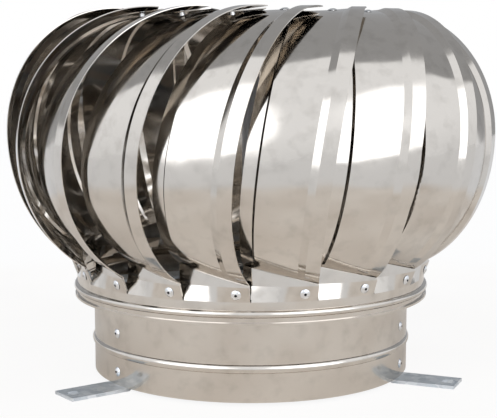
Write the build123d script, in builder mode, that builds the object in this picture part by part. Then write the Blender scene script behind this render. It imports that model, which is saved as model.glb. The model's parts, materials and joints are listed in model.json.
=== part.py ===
# Wind-driven roof turbine ventilator, 200 mm duct size.
# A stationary collar on three feet carries a fixed spindle. The turbine head, which is a throat
# ring, eighteen curved blades and a top plate, spins on two ball bearings on that spindle.
# Units are millimetres. The origin is on the spin axis, in the plane that the feet stand on.
# Azimuths are in degrees, counted from the front (-Y) anticlockwise as seen from above.

import os
from math import acos, cos, degrees, pi, radians, sin, sqrt, tan

from build123d import *

os.makedirs("parts", exist_ok=True)

# ------------------------------------------------------------------ driving dimensions

# Base collar: a sheet tube that continues the duct.
collar_radius = 100.0
collar_wall = 0.6
collar_height = 57.0
collar_bead_height = 21.5
collar_bead_width = 5.0
collar_bead_rise = 1.3

# Mounting feet: bent strips, riveted to the inside of the collar.
foot_azimuths = (-53.2, 66.8, 186.8)
foot_width = 21.0
foot_thickness = 2.0
foot_leg_height = 19.0
foot_reach = 36.5
foot_hole_radius = 3.75
foot_hole_setback = 6.0
foot_bend_radius = 2.0
foot_rivet_height = 10.1

# Blind rivets.
rivet_head_radius = 2.9
rivet_head_height = 1.1
rivet_shank_radius = 1.6
rivet_tail_radius = 2.1
rivet_tail_length = 1.6
rivet_hole_clearance = 0.1
hole_reach = 8.0
cut_margin = 1.0
seat_gap = 0.05
twist_seat_gap = 0.18

# Throat ring of the turbine head, with one twisted tab for each blade.
blade_count = 18
first_blade_azimuth = -64.27
ring_clearance = 10.5
ring_wall = 0.6
ring_overlap = 9.6
ring_slit_rise = 12.9
ring_bead_above = 6.1
ring_bead_width = 4.4
ring_bead_rise = 2.0
ring_lip_width = 1.4
ring_lip_height = 1.2
tab_twist = 10.0
tab_twist_rise = 8.7
tab_right_rise = 9.35
tab_slant = 14.0
tab_rivet_rise = 4.2
tab_rivet_setback = 8.1
tab_reach = 16.0
slit_width = 0.6

# Blades: strips of sheet, each with a low left strip, a panel, a ramp and a raised right margin.
# The two long edges of a blade are arcs of ellipses that lean and sweep sideways as they rise.
blade_thickness = 0.5
blade_foot_rise = 1.5
blade_tuck = 4.6
blade_ring_gap = 0.15
fold_clearance = 0.35
right_edge_overhang = 41.9
right_edge_height = 150.0
right_crown_radius = 85.0
right_crown_height = 226.4
right_edge_offset = 4.0
right_edge_lean = 0.16
right_edge_sweep = 0.42
right_edge_end = 94.0
left_edge_overhang = 24.1
left_edge_drop = 7.0
left_crown_inset = 20.4
left_crown_drop = 4.0
left_edge_offset = -41.7
left_edge_lean = 0.136
left_edge_sweep = 0.504
left_edge_end = 89.0
left_edge_lead = 0.06
left_strip_width = 7.0
left_step_width = 1.3
left_step_depth = 1.5
right_margin_width = 8.0
right_ramp_width = 4.3
right_margin_rise = 2.2
panel_bulge = 1.8
crown_bulge = 0.2
relief_length = 0.08
crown_relief_length = 0.06
equator_share = 0.4
crown_share = 0.6
station_step = 0.002
blade_stations = (0.0, 0.04, 0.1, 0.2, 0.3, 0.4, 0.5, 0.6, 0.7, 0.8, 0.88, 0.94, 1.0)

# Top plate of the turbine head, with one twisted tab under the crown of each blade.
plate_drop = 3.35
plate_thickness = 0.5
plate_overlap = 4.0
plate_slit_inset = 21.0
plate_tab_twist = 5.3
plate_twist_reach = 7.0
plate_slit_margin = 6.0
plate_dish_slope = 14.0
plate_dish_depth = 5.0
plate_rivet_overlap = 1.0
plate_rivet_azimuth = 17.0
plate_tab_azimuth = 20.0

# Fixed spindle.
spindle_radius = 4.0
spindle_seat_radius = 5.6
spindle_collar_radius = 8.0
spindle_collar_height = 4.0
spindle_tip = 2.5
spindle_chamfer = 0.6
nut_across_flats = 13.0
nut_height = 6.5
locknut_height = 5.0
washer_radius = 8.0
washer_thickness = 1.6

# Two deep-groove ball bearings.
bearing_outer_radius = 11.0
bearing_width = 7.0
bearing_race_wall = 1.9
bearing_ball_radius = 1.95
bearing_ball_count = 7
groove_clearance = 0.03
cage_wall = 0.8
cage_width = 5.0
running_gap = 0.05
upper_bearing_drop = 18.05
spacer_wall = 1.5

# Bearing housings.
housing_wall = 1.3
housing_flange_radius = 20.0
housing_flange_thickness = 1.2
housing_shoulder = 1.9
housing_rivet_circle = 16.3
housing_rivet_count = 3

# Spiders: pressed plates with three arms whose ends are bent against a ring of sheet.
spider_thickness = 2.0
spider_arm_width = 16.0
spider_hub_radius = 21.0
spider_bend_radius = 2.5
base_spider_drop = 19.0
spider_rivet_drop = 6.5
spider_flange_depth = 13.0
head_spider_clearance = 2.0
head_arm_count = 3
head_flange_right = 1.3
head_flange_margin = 0.6

# Weather cap over the upper end of the spindle.
plate_centre_hole = 10.0
cap_dome_radius = 12.5
cap_rise = 3.2
cap_wall = 0.6

# ------------------------------------------------------------------ shared frames and profiles

collar_top = foot_thickness + collar_height
ring_radius = collar_radius + ring_clearance
ring_bottom = collar_top - ring_overlap
ring_bead_height = ring_bottom + ring_bead_above
ring_slit_height = ring_bottom + ring_slit_rise
tab_right_height = ring_slit_height + tab_right_rise
tab_rivet_height = ring_slit_height + tab_rivet_rise
blade_foot_height = ring_slit_height + blade_foot_rise
plate_height = right_crown_height - plate_drop
plate_radius = right_crown_radius + plate_overlap
plate_slit_radius = right_crown_radius - plate_slit_inset
plate_rivet_radius = right_crown_radius + plate_rivet_overlap
blade_pitch = 360 / blade_count
tab_right = degrees(tab_rivet_setback / ring_radius)
tab_left = tab_right - blade_pitch
tab_middle = (tab_left + tab_right) / 2
ring_inner_radius = ring_radius - ring_wall
twist_end_height = ring_slit_height + tab_twist_rise
blade_azimuths = [first_blade_azimuth + blade_pitch * number for number in range(blade_count)]


def polar(radius, azimuth, height=0.0):
    """The point at a radius and an azimuth about the spin axis."""
    return Vector(radius * sin(radians(azimuth)), -radius * cos(radians(azimuth)), height)


def around(azimuth):
    """The turn about the spin axis that carries azimuth 0 to an azimuth."""
    return Location((0, 0, 0), (0, 0, azimuth))


def tab_turn(height):
    """How far a throat ring tab has twisted at a height, in degrees."""
    return tab_twist * min(max((height - ring_slit_height) / tab_twist_rise, 0), 1)


def twisted(radius, azimuth, height):
    """A point of the throat ring near azimuth 0, moved by the twist of its tab."""
    pivot = polar(ring_radius, tab_middle)
    arm = polar(radius, azimuth) - pivot
    return pivot + arm.rotate(Axis.Z, -tab_turn(height)) + Vector(0, 0, height)


def tab_section(inner, outer, left, right, height):
    """A level slice of a tab, or of a piece that lies flat against one."""
    outline = [twisted(outer, azimuth, height) for azimuth in (left, (left + right) / 2, right)]
    outline += [twisted(inner, azimuth, height) for azimuth in (right, (left + right) / 2, left)]
    corners = [(point.X, point.Y) for point in outline]
    with BuildSketch(Plane.XY.offset(height)) as section:
        with BuildLine():
            ThreePointArc(*corners[:3])
            Line(corners[2], corners[3])
            ThreePointArc(*corners[3:])
            Line(corners[5], corners[0])
        make_face()
    return section.sketch.face()


def rivet(plane, grip, gap=seat_gap):
    """A set blind rivet through a grip of sheet, with its head on the +Z side of a plane."""
    tail = -grip - gap
    dome_rise = rivet_head_height - gap
    dome_radius = (rivet_head_radius**2 + dome_rise**2) / (2 * dome_rise)
    with BuildPart() as one_rivet:
        with BuildSketch(Plane.XZ):
            with BuildLine():
                Polyline((0, rivet_head_height), (0, tail - rivet_tail_length))
                Polyline((0, tail - rivet_tail_length), (rivet_tail_radius, tail - rivet_tail_length))
                Polyline((rivet_tail_radius, tail - rivet_tail_length), (rivet_tail_radius, tail))
                Polyline((rivet_tail_radius, tail), (rivet_shank_radius, tail))
                Polyline((rivet_shank_radius, tail), (rivet_shank_radius, gap))
                Polyline((rivet_shank_radius, gap), (rivet_head_radius, gap))
                RadiusArc((rivet_head_radius, gap), (0, rivet_head_height), -dome_radius)
            make_face()
        revolve(axis=Axis.Z)
    return plane.location * one_rivet.part


rivet_hole_radius = rivet_shank_radius + rivet_hole_clearance

# ------------------------------------------------------------------ blades

# The blade's foot lies inside the ring tab. Its fold line runs just above the tab's slanted top.
foot_radius = ring_inner_radius - blade_ring_gap
foot_left = tab_left - degrees(blade_tuck / ring_radius)
foot_right = tab_right - degrees(fold_clearance / ring_radius)


def tab_top(azimuth):
    """The height of a tab's slanted top edge at an azimuth."""
    return tab_right_height + radians(tab_right - azimuth) * ring_radius * sin(radians(tab_slant))


cut_left = tab_left + degrees(slit_width / 2 / ring_radius)
cut_right = tab_right - degrees(slit_width / 2 / ring_radius)
fold_left = twisted(foot_radius, foot_left, tab_top(foot_left) + fold_clearance)
fold_right = twisted(foot_radius, foot_right, tab_top(foot_right) + fold_clearance)
fold_line = fold_right - fold_left
tab_top_plane = Plane(
    origin=fold_right - Vector(0, 0, fold_clearance),
    x_dir=fold_line,
    z_dir=Vector(0, 0, 1).cross(fold_line).cross(fold_line) * -1,
)


def edge_point(share, seat, radius, height, crown_radius, crown_height, offset, lean, sweep, end):
    """The point at a share of a blade's long edge, which rises from its seat on the fold line."""
    reach = (-seat.Y - crown_radius) / (radius - crown_radius)
    start = -degrees(acos(reach))
    drop = (height - seat.Z) / sqrt(1 - reach**2)
    turn = radians(start + (end - start) * share)
    out = crown_radius + (radius - crown_radius) * cos(turn)
    level = height + (crown_height - height if turn > 0 else drop) * sin(turn)
    across = offset + lean * (level - height) + sweep * (radius - out)
    miss = seat.X - offset - lean * (seat.Z - height) - sweep * (radius + seat.Y)
    return Vector(across + miss * (1 - share) ** 4, -out, level)


def right_edge(share):
    """The raised, outer edge of the blade."""
    return edge_point(
        share,
        fold_right,
        ring_radius + right_edge_overhang,
        right_edge_height,
        right_crown_radius,
        right_crown_height,
        right_edge_offset,
        right_edge_lean,
        right_edge_sweep,
        right_edge_end,
    )


def left_edge(share):
    """The tucked, inner edge of the blade, which runs a little ahead of the outer one."""
    return edge_point(
        share + left_edge_lead * sin(pi * share),
        fold_left,
        ring_radius + left_edge_overhang,
        right_edge_height - left_edge_drop,
        right_crown_radius - left_crown_inset,
        right_crown_height - left_crown_drop,
        left_edge_offset,
        left_edge_lean,
        left_edge_sweep,
        left_edge_end,
    )


def blade_section(left, right, up, bulge, relief):
    """The blade's profile between two edge points, on a plane square to the way it runs up."""
    width = (right - left).length
    across = (right - left).normalized()
    square_up = up - across * up.dot(across)

    def face_height(place, step):
        slope = left_step_depth - (left_step_depth + right_margin_rise) * place / width
        return relief * (slope + step) + 4 * bulge * place / width * (1 - place / width)

    panel_left = left_strip_width + left_step_width
    panel_right = width - right_margin_width - right_ramp_width
    panel_middle = (panel_left + panel_right) / 2
    outer = [
        (0, face_height(0, -left_step_depth)),
        (left_strip_width, face_height(left_strip_width, -left_step_depth)),
        (panel_left, face_height(panel_left, 0)),
        (panel_middle, face_height(panel_middle, 0)),
        (panel_right, face_height(panel_right, 0)),
        (width - right_margin_width, face_height(width - right_margin_width, right_margin_rise)),
        (width, face_height(width, right_margin_rise)),
    ]
    inner = [(x, y - blade_thickness) for x, y in outer]
    with BuildSketch(Plane(origin=left, x_dir=across, z_dir=-square_up)) as section:
        with BuildLine():
            Polyline(outer[0], outer[1], outer[2])
            ThreePointArc(outer[2], outer[3], outer[4])
            Polyline(outer[4], outer[5], outer[6], inner[6], inner[5], inner[4])
            ThreePointArc(inner[4], inner[3], inner[2])
            Polyline(inner[2], inner[1], inner[0], outer[0])
        make_face()
    return section.sketch.face()


def foot_section(height):
    """A level slice of the blade's flat foot, which follows the twist of the ring tab."""
    left = twisted(foot_radius, foot_left, height)
    right = twisted(foot_radius, foot_right, height)
    return blade_section(left, right, Vector(0, 0, 1), foot_bulge, 0)


def body_section(share):
    """The blade's profile at a share of its length, from the fold line to the crown."""
    before = max(share - station_step, 0)
    after = min(share + station_step, 1)
    up = (right_edge(after) - right_edge(before)).normalized()
    up += (left_edge(after) - left_edge(before)).normalized()
    if share == 0:
        up = Vector(0, 0, 1)
    relief = min(1, share / relief_length, (1 - share) / crown_relief_length)
    low_bulge = foot_bulge + (panel_bulge - foot_bulge) * min(share / equator_share, 1)
    bulge = low_bulge + (crown_bulge - low_bulge) * max(0, (share - crown_share) / (1 - crown_share))
    return blade_section(left_edge(share), right_edge(share), up, bulge, relief)


foot_bulge = (fold_right - fold_left).length ** 2 / (8 * ring_radius)

# The ring rivets stand square to the twisted sheet.
ring_rivet_seat = twisted(ring_radius, 0, tab_rivet_height)
rivet_arm = ring_rivet_seat - polar(ring_radius, tab_middle, tab_rivet_height)
tab_side = Vector(1, 0, 0).rotate(Axis.Z, -tab_turn(tab_rivet_height))
tab_rise = Vector(0, 0, 1) + rivet_arm.cross(Vector(0, 0, radians(tab_twist / tab_twist_rise)))
ring_rivet_plane = Plane(origin=ring_rivet_seat, x_dir=tab_side, z_dir=tab_side.cross(tab_rise))

# The top plate's tabs lean with the blades' crowns, and so do the rivets through them.
plate_tab_frame = around(plate_tab_azimuth) * Location(
    (0, 0, plate_height), (0, -plate_tab_twist, 0)
)
plate_rivet_place = polar(plate_rivet_radius, plate_rivet_azimuth - plate_tab_azimuth)
plate_rivet_plane = Plane(plate_tab_frame * Location(plate_rivet_place))

with BuildPart() as blade_pattern:
    loft([foot_section(blade_foot_height), foot_section(twist_end_height)], ruled=True)
    loft([foot_section(twist_end_height), body_section(0)], ruled=True)
    loft([body_section(share) for share in blade_stations])
    with Locations(ring_rivet_plane.location, plate_rivet_plane.location):
        Cylinder(rivet_hole_radius, hole_reach, mode=Mode.SUBTRACT)

for number, azimuth in enumerate(blade_azimuths):
    with BuildPart() as blade:
        with Locations(around(azimuth)):
            add(blade_pattern.part)
    blade.part.label = f"blade_{number + 1:02d}"
    export_step(blade.part, f"parts/{blade.part.label}.step")

# ------------------------------------------------------------------ throat ring

with BuildPart() as ring_tab:
    root = tab_section(ring_inner_radius, ring_radius, cut_left, cut_right, ring_slit_height)
    turned = tab_section(ring_inner_radius, ring_radius, cut_left, cut_right, twist_end_height)
    loft([root, turned], ruled=True)
    extrude(turned, amount=tab_reach, dir=(0, 0, 1))
    split(bisect_by=tab_top_plane, keep=Keep.BOTTOM)
    with Locations(ring_rivet_plane.location):
        Cylinder(rivet_hole_radius, hole_reach, mode=Mode.SUBTRACT)

with BuildPart() as throat_ring:
    with BuildSketch(Plane.XZ):
        with BuildLine():
            Polyline(
                (ring_radius, ring_bead_height - ring_bead_width / 2),
                (ring_radius, ring_bottom + ring_lip_height),
                (ring_radius + ring_lip_width, ring_bottom + ring_lip_height),
                (ring_radius + ring_lip_width, ring_bottom),
                (ring_inner_radius, ring_bottom),
                (ring_inner_radius, ring_bead_height - ring_bead_width / 2),
            )
            ThreePointArc(
                (ring_inner_radius, ring_bead_height - ring_bead_width / 2),
                (ring_inner_radius + ring_bead_rise, ring_bead_height),
                (ring_inner_radius, ring_bead_height + ring_bead_width / 2),
            )
            Polyline(
                (ring_inner_radius, ring_bead_height + ring_bead_width / 2),
                (ring_inner_radius, ring_slit_height),
                (ring_radius, ring_slit_height),
                (ring_radius, ring_bead_height + ring_bead_width / 2),
            )
            ThreePointArc(
                (ring_radius, ring_bead_height + ring_bead_width / 2),
                (ring_radius + ring_bead_rise, ring_bead_height),
                (ring_radius, ring_bead_height - ring_bead_width / 2),
            )
        make_face()
    revolve(axis=Axis.Z)
    with Locations(*[around(azimuth) for azimuth in blade_azimuths]):
        add(ring_tab.part)
throat_ring.part.label = "throat_ring"
export_step(throat_ring.part, "parts/throat_ring.step")

# ------------------------------------------------------------------ top plate and weather cap

half_pitch = radians(blade_pitch / 2)
dish_rim_radius = plate_slit_radius - plate_slit_margin
plate_dish_radius = dish_rim_radius - plate_dish_slope
dish_height = plate_height - plate_dish_depth


def plate_tab_section(reach, turn):
    """An upright slice across a plate tab, at a distance from the spin axis."""
    lean = radians(turn)
    face = Plane(origin=(0, -reach, plate_height), x_dir=(cos(lean), 0, sin(lean)), z_dir=(0, -1, 0))
    with BuildSketch(face) as section:
        Rectangle(
            2 * reach * tan(half_pitch) - slit_width,
            plate_thickness,
            align=(Align.CENTER, Align.MIN),
        )
    return section.sketch.face()


twist_end_radius = plate_slit_radius + plate_twist_reach
with BuildPart() as plate_tab:
    loft([plate_tab_section(dish_rim_radius, 0), plate_tab_section(plate_slit_radius, 0)], ruled=True)
    loft(
        [
            plate_tab_section(plate_slit_radius, 0),
            plate_tab_section(twist_end_radius, plate_tab_twist),
        ],
        ruled=True,
    )
    loft(
        [
            plate_tab_section(twist_end_radius, plate_tab_twist),
            plate_tab_section(plate_radius + cut_margin, plate_tab_twist),
        ],
        ruled=True,
    )
    with BuildSketch(Plane.XY.offset(plate_height - plate_radius / 2)):
        Circle(plate_radius)
    extrude(amount=plate_radius, mode=Mode.INTERSECT)
    with Locations(around(-plate_tab_azimuth) * plate_rivet_plane.location):
        Cylinder(rivet_hole_radius, hole_reach, mode=Mode.SUBTRACT)

with BuildPart() as top_plate:
    with BuildSketch(Plane.XZ):
        Polygon(
            (plate_centre_hole, dish_height),
            (plate_dish_radius, dish_height),
            (dish_rim_radius, plate_height),
            (plate_slit_radius, plate_height),
            (plate_slit_radius, plate_height + plate_thickness),
            (dish_rim_radius, plate_height + plate_thickness),
            (plate_dish_radius, dish_height + plate_thickness),
            (plate_centre_hole, dish_height + plate_thickness),
            align=None,
        )
    revolve(axis=Axis.Z)
    with Locations(*[around(azimuth + plate_tab_azimuth) for azimuth in blade_azimuths]):
        add(plate_tab.part)
    with Locations((0, 0, plate_height)):
        with PolarLocations(housing_rivet_circle, housing_rivet_count):
            Hole(rivet_hole_radius)
top_plate.part.label = "top_plate"
export_step(top_plate.part, "parts/top_plate.step")

cap_bottom = dish_height + plate_thickness + seat_gap
cap_dome_curve = (cap_dome_radius**2 + cap_rise**2) / (2 * cap_rise)
with BuildPart() as weather_cap:
    with BuildSketch(Plane.XZ):
        with BuildLine():
            Line((0, cap_bottom + cap_rise), (0, cap_bottom + cap_rise + cap_wall))
            RadiusArc(
                (0, cap_bottom + cap_rise + cap_wall),
                (cap_dome_radius, cap_bottom + cap_wall),
                cap_dome_curve,
            )
            Polyline(
                (cap_dome_radius, cap_bottom + cap_wall),
                (housing_flange_radius, cap_bottom + cap_wall),
                (housing_flange_radius, cap_bottom),
                (cap_dome_radius, cap_bottom),
            )
            RadiusArc(
                (cap_dome_radius, cap_bottom),
                (0, cap_bottom + cap_rise),
                -cap_dome_curve,
            )
        make_face()
    revolve(axis=Axis.Z)
    with Locations((0, 0, cap_bottom)):
        with PolarLocations(housing_rivet_circle, housing_rivet_count):
            Hole(rivet_hole_radius)
weather_cap.part.label = "weather_cap"
export_step(weather_cap.part, "parts/weather_cap.step")

# ------------------------------------------------------------------ base collar and feet

collar_bottom = foot_thickness + seat_gap
collar_inner_radius = collar_radius - collar_wall
leg_radius = collar_inner_radius - seat_gap


def wall_plane(radius, azimuth, height):
    """A plane against an upright round wall, whose Z axis points straight out."""
    return Plane(origin=polar(radius, azimuth, height), x_dir=(0, 0, 1), z_dir=polar(1, azimuth))


foot_rivet_planes = [wall_plane(collar_radius, turn, foot_rivet_height) for turn in foot_azimuths]
base_spider_height = collar_top - base_spider_drop
spider_rivet_height = base_spider_height - spider_rivet_drop
spider_rivet_planes = [wall_plane(collar_radius, turn, spider_rivet_height) for turn in foot_azimuths]

with BuildPart() as collar:
    with BuildSketch(Plane.XZ):
        with BuildLine():
            Polyline(
                (collar_radius, collar_bead_height - collar_bead_width / 2),
                (collar_radius, collar_bottom),
                (collar_inner_radius, collar_bottom),
                (collar_inner_radius, collar_bead_height - collar_bead_width / 2),
            )
            ThreePointArc(
                (collar_inner_radius, collar_bead_height - collar_bead_width / 2),
                (collar_inner_radius + collar_bead_rise, collar_bead_height),
                (collar_inner_radius, collar_bead_height + collar_bead_width / 2),
            )
            Polyline(
                (collar_inner_radius, collar_bead_height + collar_bead_width / 2),
                (collar_inner_radius, collar_top),
                (collar_radius, collar_top),
                (collar_radius, collar_bead_height + collar_bead_width / 2),
            )
            ThreePointArc(
                (collar_radius, collar_bead_height + collar_bead_width / 2),
                (collar_radius + collar_bead_rise, collar_bead_height),
                (collar_radius, collar_bead_height - collar_bead_width / 2),
            )
        make_face()
    revolve(axis=Axis.Z)
    with Locations(*[plane.location for plane in foot_rivet_planes + spider_rivet_planes]):
        Cylinder(rivet_hole_radius, hole_reach, mode=Mode.SUBTRACT)
collar.part.label = "collar"
export_step(collar.part, "parts/collar.step")

foot_tip = collar_radius + foot_reach
leg_inner_radius = leg_radius - foot_thickness
with BuildPart() as foot_pattern:
    with BuildSketch(Plane.XZ):
        Polygon(
            (leg_inner_radius, 0),
            (foot_tip + foot_thickness, 0),
            (foot_tip + foot_thickness, foot_thickness),
            (leg_radius, foot_thickness),
            (leg_radius, foot_leg_height),
            (leg_inner_radius, foot_leg_height),
            align=None,
        )
        fillet(vertices().sort_by(Axis.X).sort_by(Axis.Y)[0], foot_bend_radius)
    revolve(axis=Axis.Z)
    with BuildSketch():
        with Locations((0, -foot_tip)):
            Rectangle(foot_width, foot_tip, align=(Align.CENTER, Align.MIN))
    extrude(amount=foot_leg_height, mode=Mode.INTERSECT)
    with Locations((0, -(foot_tip - foot_hole_setback))):
        Hole(foot_hole_radius)
    with Locations(wall_plane(collar_radius, 0, foot_rivet_height).location):
        Cylinder(rivet_hole_radius, hole_reach, mode=Mode.SUBTRACT)

for number, azimuth in enumerate(foot_azimuths):
    with BuildPart() as foot:
        with Locations(around(azimuth)):
            add(foot_pattern.part)
    foot.part.label = f"foot_{number + 1}"
    export_step(foot.part, f"parts/{foot.part.label}.step")

with BuildPart() as foot_rivets:
    for plane in foot_rivet_planes:
        add(rivet(plane, collar_wall + seat_gap + foot_thickness))
foot_rivets.part.label = "foot_rivets"
export_step(foot_rivets.part, "parts/foot_rivets.step")

# ------------------------------------------------------------------ base spider

base_spider_top = base_spider_height + spider_thickness
with BuildPart() as base_spider:
    with BuildSketch(Plane.XZ):
        Polygon(
            (spindle_radius + running_gap, base_spider_height),
            (leg_radius - spider_thickness, base_spider_height),
            (leg_radius - spider_thickness, base_spider_top - spider_flange_depth),
            (leg_radius, base_spider_top - spider_flange_depth),
            (leg_radius, base_spider_top),
            (spindle_radius + running_gap, base_spider_top),
            align=None,
        )
        fillet(vertices().group_by(Axis.Y)[-1].sort_by(Axis.X)[-1], spider_bend_radius)
    revolve(axis=Axis.Z)
    with BuildSketch():
        Circle(spider_hub_radius)
        for azimuth in foot_azimuths:
            with Locations(around(azimuth)):
                with Locations((0, -collar_radius / 2)):
                    Rectangle(spider_arm_width, collar_radius)
    extrude(amount=base_spider_top, mode=Mode.INTERSECT)
    with Locations(*[plane.location for plane in spider_rivet_planes]):
        Cylinder(rivet_hole_radius, hole_reach, mode=Mode.SUBTRACT)
base_spider.part.label = "base_spider"
export_step(base_spider.part, "parts/base_spider.step")

with BuildPart() as spider_rivets:
    for plane in spider_rivet_planes:
        add(rivet(plane, collar_wall + seat_gap + spider_thickness))
spider_rivets.part.label = "spider_rivets"
export_step(spider_rivets.part, "parts/spider_rivets.step")

# ------------------------------------------------------------------ head spider

head_spider_bottom = collar_top + head_spider_clearance
head_spider_top = head_spider_bottom + spider_thickness
flange_radius = foot_radius - blade_thickness - blade_ring_gap
flange_left = head_flange_right - degrees(spider_arm_width / flange_radius)
flange_middle = (flange_left + head_flange_right) / 2
head_arm_azimuths = blade_azimuths[:: blade_count // head_arm_count]
flange_height = tab_rivet_height + rivet_tail_radius + head_flange_margin

with BuildPart() as head_spider:
    with BuildSketch(Plane.XY.offset(head_spider_bottom)):
        Circle(spider_hub_radius)
        for azimuth in head_arm_azimuths:
            with Locations(around(azimuth + flange_middle)):
                with Locations((0, -collar_radius / 2)):
                    Rectangle(spider_arm_width, collar_radius)
    extrude(amount=spider_thickness)
    for azimuth in head_arm_azimuths:
        arm_end = tab_section(
            collar_inner_radius,
            flange_radius - spider_thickness / 2,
            flange_left,
            head_flange_right,
            head_spider_bottom,
        )
        extrude(around(azimuth) * arm_end, amount=spider_thickness, dir=(0, 0, 1))
        flange_sections = [
            tab_section(
                flange_radius - spider_thickness,
                flange_radius,
                flange_left,
                head_flange_right,
                height,
            )
            for height in (head_spider_bottom, ring_slit_height, flange_height)
        ]
        loft([around(azimuth) * section for section in flange_sections], ruled=True)
    with Locations((0, 0, head_spider_top)):
        Hole(bearing_outer_radius - housing_shoulder)
        with PolarLocations(housing_rivet_circle, housing_rivet_count):
            Hole(rivet_hole_radius)
    for azimuth in head_arm_azimuths:
        with Locations(around(azimuth) * ring_rivet_plane.location):
            Cylinder(rivet_hole_radius, hole_reach, mode=Mode.SUBTRACT)
head_spider.part.label = "head_spider"
export_step(head_spider.part, "parts/head_spider.step")

ring_grip = ring_wall + blade_ring_gap + blade_thickness
spider_grip = ring_grip + blade_ring_gap + spider_thickness
with BuildPart() as ring_rivets:
    for azimuth in blade_azimuths:
        with Locations(around(azimuth)):
            add(
                rivet(
                    ring_rivet_plane,
                    spider_grip if azimuth in head_arm_azimuths else ring_grip,
                    twist_seat_gap,
                )
            )
ring_rivets.part.label = "ring_rivets"
export_step(ring_rivets.part, "parts/ring_rivets.step")

# The grip of a top rivet is measured from the plate tab up to the outside of the blade's crown.
rivet_axis = Axis(plate_rivet_plane.origin, plate_rivet_plane.z_dir)
with BuildPart() as whole_crown:
    loft([body_section(share) for share in blade_stations])
crown_hits = whole_crown.part.find_intersection_points(rivet_axis)
top_grip = max((point - plate_rivet_plane.origin).length for point, normal in crown_hits)
top_head_plane = plate_rivet_plane.offset(top_grip)
with BuildPart() as top_rivets:
    for azimuth in blade_azimuths:
        with Locations(around(azimuth)):
            add(rivet(top_head_plane, top_grip, twist_seat_gap))
top_rivets.part.label = "top_rivets"
export_step(top_rivets.part, "parts/top_rivets.step")

# ------------------------------------------------------------------ spindle

lower_bearing_bottom = head_spider_bottom - seat_gap - bearing_width
upper_bearing_height = dish_height - upper_bearing_drop
upper_bearing_top = upper_bearing_height + bearing_width
washer_bottom = base_spider_height - seat_gap - washer_thickness
nut_bottom = washer_bottom - seat_gap - nut_height
top_washer_bottom = upper_bearing_top + seat_gap
locknut_bottom = top_washer_bottom + washer_thickness + seat_gap
collar_base = base_spider_top + seat_gap
with BuildPart() as spindle:
    with BuildSketch(Plane.XZ):
        Polygon(
            (0, nut_bottom - spindle_tip),
            (spindle_radius, nut_bottom - spindle_tip),
            (spindle_radius, collar_base),
            (spindle_collar_radius, collar_base),
            (spindle_collar_radius, collar_base + spindle_collar_height),
            (spindle_seat_radius, collar_base + spindle_collar_height),
            (spindle_seat_radius, lower_bearing_bottom - seat_gap),
            (spindle_radius, lower_bearing_bottom - seat_gap),
            (spindle_radius, locknut_bottom + locknut_height + spindle_tip),
            (0, locknut_bottom + locknut_height + spindle_tip),
            align=None,
        )
    revolve(axis=Axis.Z)
    chamfer(spindle.edges().filter_by(GeomType.CIRCLE).sort_by(Axis.Z)[0], spindle_chamfer)
    chamfer(spindle.edges().filter_by(GeomType.CIRCLE).sort_by(Axis.Z)[-1], spindle_chamfer)
spindle.part.label = "spindle"
export_step(spindle.part, "parts/spindle.step")

for label, bottom, height in (
    ("spindle_nut", nut_bottom, nut_height),
    ("locknut", locknut_bottom, locknut_height),
):
    with BuildPart() as nut:
        with BuildSketch(Plane.XY.offset(bottom)):
            RegularPolygon(nut_across_flats / 2, 6, major_radius=False)
            Circle(spindle_radius + running_gap, mode=Mode.SUBTRACT)
        extrude(amount=height)
    nut.part.label = label
    export_step(nut.part, f"parts/{label}.step")

for label, bottom, inner, outer, height in (
    ("spindle_washer", washer_bottom, spindle_radius, washer_radius, washer_thickness),
    ("top_washer", top_washer_bottom, spindle_radius, washer_radius, washer_thickness),
    (
        "spacer_tube",
        lower_bearing_bottom + bearing_width + seat_gap,
        spindle_radius,
        spindle_radius + spacer_wall,
        upper_bearing_height - lower_bearing_bottom - bearing_width - 2 * seat_gap,
    ),
):
    with BuildPart() as sleeve:
        with BuildSketch(Plane.XY.offset(bottom)):
            Circle(outer)
            Circle(inner + running_gap, mode=Mode.SUBTRACT)
        extrude(amount=height)
    sleeve.part.label = label
    export_step(sleeve.part, f"parts/{label}.step")

# ------------------------------------------------------------------ bearings

ball_circle = (spindle_radius + bearing_outer_radius) / 2
for place, bottom in (("lower", lower_bearing_bottom), ("upper", upper_bearing_height)):
    middle = bottom + bearing_width / 2
    for ring, inner, outer in (
        ("inner", spindle_radius + running_gap, spindle_radius + bearing_race_wall),
        ("outer", bearing_outer_radius - bearing_race_wall, bearing_outer_radius),
    ):
        with BuildPart() as race:
            with BuildSketch(Plane.XY.offset(bottom)):
                Circle(outer)
                Circle(inner, mode=Mode.SUBTRACT)
            extrude(amount=bearing_width)
            with Locations((0, 0, middle)):
                Torus(ball_circle, bearing_ball_radius + groove_clearance, mode=Mode.SUBTRACT)
        race.part.label = f"{place}_{ring}_race"
        export_step(race.part, f"parts/{race.part.label}.step")
    with BuildPart() as balls:
        with Locations((0, 0, middle)):
            with PolarLocations(ball_circle, bearing_ball_count):
                Sphere(bearing_ball_radius)
    balls.part.label = f"{place}_balls"
    export_step(balls.part, f"parts/{balls.part.label}.step")
    with BuildPart() as cage:
        with BuildSketch(Plane.XY.offset(middle - cage_width / 2)):
            Circle(ball_circle + cage_wall / 2)
            Circle(ball_circle - cage_wall / 2, mode=Mode.SUBTRACT)
        extrude(amount=cage_width)
        with Locations((0, 0, middle)):
            with PolarLocations(ball_circle, bearing_ball_count):
                Cylinder(
                    bearing_ball_radius + groove_clearance,
                    4 * cage_wall,
                    rotation=(0, 90, 0),
                    mode=Mode.SUBTRACT,
                )
    cage.part.label = f"{place}_cage"
    export_step(cage.part, f"parts/{cage.part.label}.step")

# ------------------------------------------------------------------ bearing housings

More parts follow.
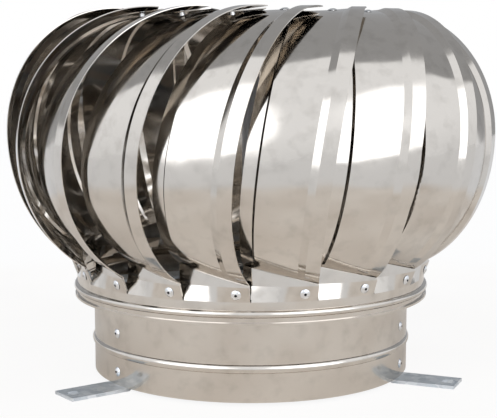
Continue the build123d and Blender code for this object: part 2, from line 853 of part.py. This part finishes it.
bore = bearing_outer_radius + running_gap
shoulder_bore = bearing_outer_radius - housing_shoulder
lower_flange_top = head_spider_bottom - seat_gap
cup_bottom = lower_bearing_bottom - seat_gap - housing_flange_thickness
with BuildPart() as lower_housing:
    with BuildSketch(Plane.XZ):
        Polygon(
            (bore, lower_flange_top),
            (housing_flange_radius, lower_flange_top),
            (housing_flange_radius, lower_flange_top - housing_flange_thickness),
            (bore + housing_wall, lower_flange_top - housing_flange_thickness),
            (bore + housing_wall, cup_bottom),
            (shoulder_bore, cup_bottom),
            (shoulder_bore, lower_bearing_bottom - seat_gap),
            (bore, lower_bearing_bottom - seat_gap),
            align=None,
        )
    revolve(axis=Axis.Z)
    with Locations((0, 0, lower_flange_top)):
        with PolarLocations(housing_rivet_circle, housing_rivet_count):
            Hole(rivet_hole_radius)
lower_housing.part.label = "lower_housing"
export_step(lower_housing.part, "parts/lower_housing.step")

upper_flange_top = dish_height - seat_gap
with BuildPart() as upper_housing:
    with BuildSketch(Plane.XZ):
        Polygon(
            (shoulder_bore, upper_flange_top),
            (housing_flange_radius, upper_flange_top),
            (housing_flange_radius, upper_flange_top - housing_flange_thickness),
            (bore + housing_wall, upper_flange_top - housing_flange_thickness),
            (bore + housing_wall, upper_bearing_height),
            (bore, upper_bearing_height),
            (bore, upper_bearing_top + seat_gap),
            (shoulder_bore, upper_bearing_top + seat_gap),
            align=None,
        )
    revolve(axis=Axis.Z)
    with Locations((0, 0, upper_flange_top)):
        with PolarLocations(housing_rivet_circle, housing_rivet_count):
            Hole(rivet_hole_radius)
upper_housing.part.label = "upper_housing"
export_step(upper_housing.part, "parts/upper_housing.step")

for label, top, grip in (
    (
        "housing_rivets",
        head_spider_top,
        spider_thickness + seat_gap + housing_flange_thickness,
    ),
    (
        "cap_rivets",
        cap_bottom + cap_wall,
        cap_wall + plate_thickness + housing_flange_thickness + 2 * seat_gap,
    ),
):
    with BuildPart() as fixings:
        with PolarLocations(housing_rivet_circle, housing_rivet_count):
            add(rivet(Plane.XY.offset(top), grip))
    fixings.part.label = label
    export_step(fixings.part, f"parts/{label}.step")
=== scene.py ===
"""Looks of the roof turbine ventilator: polished stainless sheet on pale studio paper."""

import json
import math

import bmesh
import bpy
import numpy as np
from mathutils import Matrix, Vector


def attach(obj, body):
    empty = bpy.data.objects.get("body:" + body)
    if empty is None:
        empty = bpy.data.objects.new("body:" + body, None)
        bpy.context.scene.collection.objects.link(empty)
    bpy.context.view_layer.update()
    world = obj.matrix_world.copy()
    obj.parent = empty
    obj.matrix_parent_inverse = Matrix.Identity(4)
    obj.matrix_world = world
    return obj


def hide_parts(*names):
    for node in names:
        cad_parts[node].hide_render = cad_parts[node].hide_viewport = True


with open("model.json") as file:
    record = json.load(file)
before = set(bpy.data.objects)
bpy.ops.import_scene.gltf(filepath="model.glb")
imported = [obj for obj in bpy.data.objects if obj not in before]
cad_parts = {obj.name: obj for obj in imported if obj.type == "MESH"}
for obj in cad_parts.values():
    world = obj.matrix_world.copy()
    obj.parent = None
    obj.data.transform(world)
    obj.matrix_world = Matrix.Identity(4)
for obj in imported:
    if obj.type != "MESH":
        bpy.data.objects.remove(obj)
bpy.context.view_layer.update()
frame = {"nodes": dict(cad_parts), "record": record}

MM = 0.001

# ------------------------------------------------------------------ finishes

STEEL_COLOR = (0xCF, 0xC9, 0xC1)
STEEL_SMEAR_COLOR = (0xB9, 0xB3, 0xAB)
GALVANISED_COLOR = (0xE2, 0xE6, 0xE9)
SPANGLE_COLOR = (0xC4, 0xCB, 0xD1)
ALUMINIUM_COLOR = (0xE0, 0xE1, 0xE2)
ZINC_COLOR = (0xA8, 0xAB, 0xB0)
BEARING_COLOR = (0xB8, 0xB9, 0xBB)
# Painted shade for the inside of a set rivet's bore.
BORE_SHADE_COLOR = (0x1E, 0x1C, 0x1A)

SHEET_ROUGHNESS = 0.08
GALVANISED_ROUGHNESS = 0.5
RIVET_ROUGHNESS = 0.22
ZINC_ROUGHNESS = 0.3
BEARING_ROUGHNESS = 0.15
HOUSING_ROUGHNESS = 0.3
BORE_ROUGHNESS = 0.6

# The sheet's hand smears, its thin film of dust and the waves that forming leaves. A pattern
# starts to show where its noise passes the first share, and is full at the second.
SMEAR_SIZE = 22 * MM
SMEAR_START = 0.42
SMEAR_FULL = 0.72
SMEAR_BLUR = 0.12
FILM_SIZE = 9 * MM
FILM_START = 0.5
FILM_FULL = 0.9
WAVE_SIZE = 34 * MM
WAVE_DEPTH = 0.5 * MM

# Zinc crystals, handling marks and the grime of a bore make a surface smoother in places and
# rougher in others. The marks are finer in life and are drawn this coarse so that they show.
SPANGLE_SIZE = 5 * MM
SPANGLE_SMOOTHER = 0.06
SPANGLE_ROUGHER = 0.08
MARK_SIZE = 3 * MM
MARK_SMOOTHER = 0.05
MARK_ROUGHER = 0.1
GRIME_SPREAD = 0.15


def linear(hex_color):
    """An sRGB colour of 0-255 values as the linear RGBA that sockets take."""
    out = []
    for value in hex_color:
        c = value / 255
        out.append(c / 12.92 if c <= 0.04045 else ((c + 0.055) / 1.055) ** 2.4)
    return (*out, 1.0)


def node(tree, kind, links=None, settings=None, **values):
    """Add a node with its settings, its input values and the links that feed it."""
    made = tree.nodes.new(kind)
    for name, value in (settings or {}).items():
        setattr(made, name, value)
    for name, value in values.items():
        made.inputs[name.replace("_", " ")].default_value = value
    for name, source in (links or {}).items():
        tree.links.new(source, made.inputs[name])
    return made


def new_material(name, color, metallic, roughness):
    """A material whose shader starts from one colour, metallic share and roughness."""
    material = bpy.data.materials.new(name)
    material.use_nodes = True
    shader = material.node_tree.nodes["Principled BSDF"]
    shader.inputs["Base Color"].default_value = linear(color)
    shader.inputs["Metallic"].default_value = metallic
    shader.inputs["Roughness"].default_value = roughness
    return material, material.node_tree, shader


def uneven_gloss(tree, shader, pattern, smoothest, roughest, **reach):
    """Let a pattern blur the reflections, from one roughness to another."""
    blur = node(
        tree,
        "ShaderNodeMapRange",
        {"Value": pattern},
        To_Min=smoothest,
        To_Max=roughest,
        **reach,
    )
    tree.links.new(blur.outputs["Result"], shader.inputs["Roughness"])


def polished_sheet(name, color, roughness):
    """Bright rolled stainless sheet: hand smears blur it, and forming leaves it faintly wavy."""
    material, tree, shader = new_material(name, color, 1.0, roughness)
    place = node(tree, "ShaderNodeTexCoord").outputs["Object"]
    smears = node(tree, "ShaderNodeTexNoise", {"Vector": place}, Scale=1 / SMEAR_SIZE, Detail=4.0)
    uneven_gloss(
        tree,
        shader,
        smears.outputs["Fac"],
        roughness,
        roughness + SMEAR_BLUR,
        From_Min=SMEAR_START,
        From_Max=SMEAR_FULL,
    )
    film = node(tree, "ShaderNodeTexNoise", {"Vector": place}, Scale=1 / FILM_SIZE, Detail=5.0)
    share = node(
        tree,
        "ShaderNodeMapRange",
        {"Value": film.outputs["Fac"]},
        From_Min=FILM_START,
        From_Max=FILM_FULL,
    )
    tint = node(
        tree,
        "ShaderNodeMix",
        {"Factor": share.outputs["Result"]},
        {"data_type": "RGBA"},
        A=linear(color),
        B=linear(STEEL_SMEAR_COLOR),
    )
    tree.links.new(tint.outputs["Result"], shader.inputs["Base Color"])
    waves = node(tree, "ShaderNodeTexNoise", {"Vector": place}, Scale=1 / WAVE_SIZE, Detail=1.0)
    dents = node(
        tree, "ShaderNodeBump", {"Height": waves.outputs["Fac"]}, Strength=1.0, Distance=WAVE_DEPTH
    )
    tree.links.new(dents.outputs["Normal"], shader.inputs["Normal"])
    return material


def galvanised_strip(name, color, roughness):
    """Hot-dip galvanised strip: flat zinc crystals, each a slightly different grey."""
    material, tree, shader = new_material(name, color, 1.0, roughness)
    place = node(tree, "ShaderNodeTexCoord").outputs["Object"]
    crystals = node(tree, "ShaderNodeTexVoronoi", {"Vector": place}, Scale=1 / SPANGLE_SIZE)
    tone = node(tree, "ShaderNodeSeparateColor", {"Color": crystals.outputs["Color"]})
    shade = node(
        tree,
        "ShaderNodeMix",
        {"Factor": tone.outputs["Red"]},
        {"data_type": "RGBA"},
        A=linear(color),
        B=linear(SPANGLE_COLOR),
    )
    tree.links.new(shade.outputs["Result"], shader.inputs["Base Color"])
    smoothest = roughness - SPANGLE_SMOOTHER
    uneven_gloss(tree, shader, tone.outputs["Green"], smoothest, roughness + SPANGLE_ROUGHER)
    return material


def turned_metal(name, color, roughness):
    """Small turned, pressed or plated metal, with fine handling marks that vary its gloss."""
    material, tree, shader = new_material(name, color, 1.0, roughness)
    place = node(tree, "ShaderNodeTexCoord").outputs["Object"]
    marks = node(tree, "ShaderNodeTexNoise", {"Vector": place}, Scale=1 / MARK_SIZE, Detail=2.0)
    smoothest = roughness - MARK_SMOOTHER
    uneven_gloss(tree, shader, marks.outputs["Fac"], smoothest, roughness + MARK_ROUGHER)
    return material


def bore_shadow(name, color, roughness):
    """The unlit bore of a set blind rivet, dark with painted shade and dull with grime."""
    material, tree, shader = new_material(name, color, 0.0, roughness)
    place = node(tree, "ShaderNodeTexCoord").outputs["Object"]
    grime = node(tree, "ShaderNodeTexNoise", {"Vector": place}, Scale=1 / MARK_SIZE, Detail=1.0)
    smoothest = roughness - GRIME_SPREAD
    uneven_gloss(tree, shader, grime.outputs["Fac"], smoothest, roughness + GRIME_SPREAD)
    return material


RIVET_BORE_SHADE = bore_shadow("rivet_bore_shade", BORE_SHADE_COLOR, BORE_ROUGHNESS)
FINISHES = {
    "stainless_sheet": polished_sheet("polished_stainless", STEEL_COLOR, SHEET_ROUGHNESS),
    "galvanised_strip": galvanised_strip(
        "galvanised_steel", GALVANISED_COLOR, GALVANISED_ROUGHNESS
    ),
    "rivet_metal": turned_metal("aluminium_rivet", ALUMINIUM_COLOR, RIVET_ROUGHNESS),
    "zinc_steel": turned_metal("zinc_plated_steel", ZINC_COLOR, ZINC_ROUGHNESS),
    "bearing_steel": turned_metal("bearing_steel", BEARING_COLOR, BEARING_ROUGHNESS),
    "housing_aluminium": turned_metal("turned_aluminium", ALUMINIUM_COLOR, HOUSING_ROUGHNESS),
}
for entry in frame["record"]["subparts"]:
    mesh = frame["nodes"][entry["node"]].data
    mesh.materials.clear()
    mesh.materials.append(FINISHES[entry["material_slot"]])

# ------------------------------------------------------------------ blind rivets

HEAD_RADIUS = 2.9 * MM
HEAD_RISE = 1.05 * MM
SKEWED_HEAD_RISE = 0.92 * MM
SHANK_RADIUS = 1.6 * MM
TAIL_RADIUS = 2.1 * MM
TAIL_LENGTH = 1.6 * MM
BORE_RADIUS = 0.8 * MM
BORE_DEPTH = 1.9 * MM
PIN_RADIUS = 0.4 * MM
PIN_DEPTH = 1.2 * MM
DOME_RINGS = (1.1 * MM, 1.6 * MM, 2.1 * MM, 2.5 * MM, 2.8 * MM)
RIVET_SIDES = 24
SHARP_ANGLE = math.radians(35)
MERGE_DISTANCE = 0.001 * MM
BORE_MARGIN = 0.008 * MM

# From the top of the head to the end of the tail. The ring's length is also that of the three
# rivets that hold the head spider, whose longer tails are out of sight.
RING_RIVET_LENGTH = 4.13 * MM
CROWN_RIVET_LENGTH = 4.44 * MM
WALL_RIVET_LENGTH = 5.4 * MM
CAP_RIVET_LENGTH = 5.15 * MM
HOUSING_RIVET_LENGTH = 6.0 * MM


def loose_solids(work):
    """The corners of each separate solid in a merged mesh."""
    solids = []
    for start in work.verts:
        if start.tag:
            continue
        start.tag = True
        corners = [start]
        # The list grows as each corner's neighbours are found.
        for corner in corners:
            for edge in corner.link_edges:
                near = edge.other_vert(corner)
                if not near.tag:
                    near.tag = True
                    corners.append(near)
        solids.append(corners)
    return solids


def rivet_seats(node_name):
    """The top of each of a CAD node's plain rivets, with the way that its head points."""
    work = bmesh.new()
    work.from_mesh(frame["nodes"][node_name].data)
    bmesh.ops.remove_doubles(work, verts=work.verts, dist=MERGE_DISTANCE)
    seats = []
    for corners in loose_solids(work):
        # The domed and flat faces outweigh the sides, so most of the skin faces along the axis.
        faces = dict.fromkeys(face for corner in corners for face in corner.link_faces)
        facing = sum(face.calc_area() * np.outer(face.normal, face.normal) for face in faces)
        axis = Vector(np.linalg.eigh(facing)[1][:, -1])
        # Every head points away from the origin, in the middle of the collar's lower end.
        if axis.dot(corners[0].co) < 0:
            axis.negate()
        top = max(corners, key=lambda corner: corner.co.dot(axis))
        seats.append((top.co.copy(), axis))
    work.free()
    return seats


def rivet_profile(length, head_rise):
    """Half of a set blind rivet, from its broken pin over the domed head to the tail's end."""
    curve = (HEAD_RADIUS**2 + head_rise**2) / (2 * head_rise)

    def dome(radius):
        return (radius, math.sqrt(curve**2 - radius**2) - curve)

    return [
        (0, -PIN_DEPTH),
        (PIN_RADIUS, -PIN_DEPTH),
        (PIN_RADIUS, -BORE_DEPTH),
        (BORE_RADIUS, -BORE_DEPTH),
        dome(BORE_RADIUS),
        *[dome(radius) for radius in DOME_RINGS],
        (HEAD_RADIUS, -head_rise),
        (SHANK_RADIUS, -head_rise),
        (SHANK_RADIUS, TAIL_LENGTH - length),
        (TAIL_RADIUS, TAIL_LENGTH - length),
        (TAIL_RADIUS, -length),
        (0, -length),
    ]


def blind_rivets(node_name, body, length, head_rise):
    """Set blind rivets with open bores, in the places of a CAD node's plain domed ones."""
    work = bmesh.new()
    profile = rivet_profile(length, head_rise)
    points = [work.verts.new((radius, 0, level)) for radius, level in profile]
    outline = [work.edges.new(pair) for pair in zip(points, points[1:])]
    bmesh.ops.spin(
        work,
        geom=points + outline,
        cent=(0, 0, 0),
        axis=(0, 0, 1),
        angle=math.tau,
        steps=RIVET_SIDES,
        use_merge=True,
    )
    bmesh.ops.remove_doubles(work, verts=work.verts, dist=MERGE_DISTANCE)
    bmesh.ops.recalc_face_normals(work, faces=work.faces)
    for face in work.faces:
        reach = max(corner.co.xy.length for corner in face.verts)
        # Faces inside the bore take the painted shade.
        face.material_index = int(reach < BORE_RADIUS + BORE_MARGIN)
    one_corners = work.verts[:]
    one_rivet = one_corners + work.edges[:] + work.faces[:]
    for top, axis in rivet_seats(node_name):
        made = bmesh.ops.duplicate(work, geom=one_rivet)["geom"]
        corners = [part for part in made if isinstance(part, bmesh.types.BMVert)]
        lean = Vector((0, 0, 1)).rotation_difference(axis).to_matrix().to_4x4()
        bmesh.ops.transform(work, matrix=Matrix.Translation(top) @ lean, verts=corners)
    bmesh.ops.delete(work, geom=one_corners, context="VERTS")
    mesh = bpy.data.meshes.new(node_name + "_set")
    work.to_mesh(mesh)
    work.free()
    mesh.shade_smooth()
    mesh.set_sharp_from_angle(angle=SHARP_ANGLE)
    mesh.materials.append(FINISHES["rivet_metal"])
    mesh.materials.append(RIVET_BORE_SHADE)
    piece = bpy.data.objects.new(node_name + "_set", mesh)
    bpy.context.scene.collection.objects.link(piece)
    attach(piece, body)
    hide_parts(node_name)


blind_rivets("ring_rivets", "head", RING_RIVET_LENGTH, SKEWED_HEAD_RISE)
blind_rivets("top_rivets", "head", CROWN_RIVET_LENGTH, SKEWED_HEAD_RISE)
blind_rivets("foot_rivets", "base", WALL_RIVET_LENGTH, HEAD_RISE)
blind_rivets("spider_rivets", "base", WALL_RIVET_LENGTH, HEAD_RISE)
blind_rivets("cap_rivets", "head", CAP_RIVET_LENGTH, HEAD_RISE)
blind_rivets("housing_rivets", "head", HOUSING_RIVET_LENGTH, HEAD_RISE)

# ------------------------------------------------------------------ stage

FLOOR_HALF = 4000 * MM
FLOOR_COLOR = (0xF2, 0xF2, 0xF2)
FLOOR_ROUGHNESS = 0.9

# A warm patch of paper under the part, in clouded painted shade and light, which the sheet
# mirrors.
PATCH_RADIUS = 410 * MM
PATCH_EDGE = 70 * MM
PATCH_LIT_COLOR = (0xFF, 0xFA, 0xF3)
PATCH_SHADE_COLOR = (0xD4, 0xC8, 0xBC)
SHADE_CLOUD_SIZE = 120 * MM

# The share of plain white that the camera sees over the floor and over the tent.
FLOOR_WHITE = 0.9
TENT_WHITE = 1.0


def white_to_camera(tree, surface, share):
    """Lay plain white over a surface for the rays that see the background."""
    sight = node(tree, "ShaderNodeLightPath")
    amount = node(
        tree, "ShaderNodeMath", {0: sight.outputs["Is Camera Ray"]}, {"operation": "MULTIPLY"}
    )
    amount.inputs[1].default_value = share
    kind = "ShaderNodeBackground" if surface.name == "Background" else "ShaderNodeEmission"
    glow = node(tree, kind, Color=(1, 1, 1, 1), Strength=1.0)
    return node(
        tree, "ShaderNodeMixShader", {0: amount.outputs[0], 1: surface, 2: glow.outputs[0]}
    ).outputs[0]


def studio_paper():
    """Pale paper, warm and unevenly lit beneath the part and white further out."""
    material, tree, shader = new_material("studio_paper", FLOOR_COLOR, 0.0, FLOOR_ROUGHNESS)
    place = node(tree, "ShaderNodeTexCoord").outputs["Object"]
    reach = node(tree, "ShaderNodeVectorMath", {0: place}, {"operation": "LENGTH"})
    edge = node(
        tree,
        "ShaderNodeMapRange",
        {"Value": reach.outputs["Value"]},
        From_Min=PATCH_RADIUS,
        From_Max=PATCH_RADIUS + PATCH_EDGE,
    )
    # Painted light and shade that cloud the patch under the part.
    shade_cloud = node(tree, "ShaderNodeTexNoise", {"Vector": place}, Scale=1 / SHADE_CLOUD_SIZE, Detail=1.0)
    shaded_patch = node(
        tree,
        "ShaderNodeMix",
        {"Factor": shade_cloud.outputs["Fac"]},
        {"data_type": "RGBA"},
        A=linear(PATCH_SHADE_COLOR),
        B=linear(PATCH_LIT_COLOR),
    )
    paper = node(
        tree,
        "ShaderNodeMix",
        {"Factor": edge.outputs["Result"], "A": shaded_patch.outputs["Result"]},
        {"data_type": "RGBA"},
        B=linear(FLOOR_COLOR),
    )
    tree.links.new(paper.outputs["Result"], shader.inputs["Base Color"])
    over = white_to_camera(tree, shader.outputs["BSDF"], FLOOR_WHITE)
    tree.links.new(over, tree.nodes["Material Output"].inputs["Surface"])
    return material


def stage_floor():
    """The flat floor that the part stands on."""
    work = bmesh.new()
    bmesh.ops.create_grid(work, x_segments=1, y_segments=1, size=FLOOR_HALF)
    mesh = bpy.data.meshes.new("studio_floor")
    work.to_mesh(mesh)
    work.free()
    mesh.materials.append(studio_paper())
    floor = bpy.data.objects.new("studio_floor", mesh)
    bpy.context.scene.collection.objects.link(floor)


stage_floor()

# ------------------------------------------------------------------ light

# A faintly cool white, as linear light, that grows stronger from eye level upwards. It is full
# where the sine of the height angle reaches TENT_TOP_RISE.
TENT_COLOR = (0.97, 1.0, 1.05, 1.0)
TENT_LOW = 1.0
TENT_TOP = 1.15
TENT_TOP_RISE = 0.32

# The dim studio behind the tent. Its edges, like the softboxes', are cosines from its aim.
BACK_AIM = (0.0, 0.8, 0.6)
BACK_START = 0.47
BACK_END = 0.5
BACK_LEVEL = 0.42

# Two softboxes shine through the tent, one on each side of the camera.
SOFTBOX_AIM = (0.62, -0.7, 0.36)
SOFTBOX_EDGE = 0.86
SOFTBOX_CORE = 0.92
SOFTBOX_LEVEL = 1.3


def tent_walls(tree, axes):
    """The tent's own light, from eye level to its top."""
    return node(
        tree,
        "ShaderNodeMapRange",
        {"Value": axes.outputs["Z"]},
        From_Min=0.0,
        From_Max=TENT_TOP_RISE,
        To_Min=TENT_LOW,
        To_Max=TENT_TOP,
    ).outputs["Result"]


def softboxes(tree, axes):
    """The light that two mirrored softboxes add to the tent."""
    mirrored = node(tree, "ShaderNodeMath", {0: axes.outputs["X"]}, {"operation": "ABSOLUTE"})
    folded = node(
        tree,
        "ShaderNodeCombineXYZ",
        {"X": mirrored.outputs["Value"], "Y": axes.outputs["Y"], "Z": axes.outputs["Z"]},
    )
    near = node(
        tree,
        "ShaderNodeVectorMath",
        {0: folded.outputs["Vector"]},
        {"operation": "DOT_PRODUCT"},
    )
    near.inputs[1].default_value = Vector(SOFTBOX_AIM).normalized()
    return node(
        tree,
        "ShaderNodeMapRange",
        {"Value": near.outputs["Value"]},
        {"interpolation_type": "SMOOTHSTEP"},
        From_Min=SOFTBOX_EDGE,
        From_Max=SOFTBOX_CORE,
        To_Min=0.0,
        To_Max=SOFTBOX_LEVEL,
    ).outputs["Result"]


def studio_back(tree, way):
    """The share of the dim studio behind the tent."""
    aim = node(tree, "ShaderNodeVectorMath", {0: way}, {"operation": "DOT_PRODUCT"})
    aim.inputs[1].default_value = BACK_AIM
    return node(
        tree,
        "ShaderNodeMapRange",
        {"Value": aim.outputs["Value"]},
        From_Min=BACK_START,
        From_Max=BACK_END,
    ).outputs["Result"]


def light_tent():
    """A white tent in front of and over the part, with a dim studio behind it."""
    world = bpy.data.worlds.new("light_tent")
    bpy.context.scene.world = world
    world.use_nodes = True
    tree = world.node_tree
    tent = tree.nodes["Background"]
    tent.inputs["Color"].default_value = TENT_COLOR
    way = node(tree, "ShaderNodeTexCoord").outputs["Generated"]
    axes = node(tree, "ShaderNodeSeparateXYZ", {"Vector": way})
    lit = node(
        tree,
        "ShaderNodeMath",
        {0: tent_walls(tree, axes), 1: softboxes(tree, axes)},
        {"operation": "ADD"},
    )
    level = node(
        tree,
        "ShaderNodeMix",
        {"Factor": studio_back(tree, way), "A": lit.outputs["Value"]},
        B=BACK_LEVEL,
    )
    tree.links.new(level.outputs["Result"], tent.inputs["Strength"])
    over = white_to_camera(tree, tent.outputs["Background"], TENT_WHITE)
    tree.links.new(over, tree.nodes["World Output"].inputs["Surface"])


light_tent()

# ------------------------------------------------------------------ camera

FRAME_WIDTH = 497
FOCAL_PIXELS = 1232.0
SENSOR_WIDTH = 36.0
CAMERA_PLACE = (-1.4 * MM, -782.9 * MM, 196.4 * MM)
CAMERA_DIP = math.radians(6.93)

lens = bpy.data.cameras.new("product_camera")
lens.sensor_width = SENSOR_WIDTH
lens.lens = FOCAL_PIXELS * SENSOR_WIDTH / FRAME_WIDTH
camera = bpy.data.objects.new("product_camera", lens)
camera.location = CAMERA_PLACE
camera.rotation_euler = (math.radians(90) - CAMERA_DIP, 0, 0)
bpy.context.scene.collection.objects.link(camera)
bpy.context.scene.camera = camera
bpy.context.scene.view_settings.view_transform = "Standard"
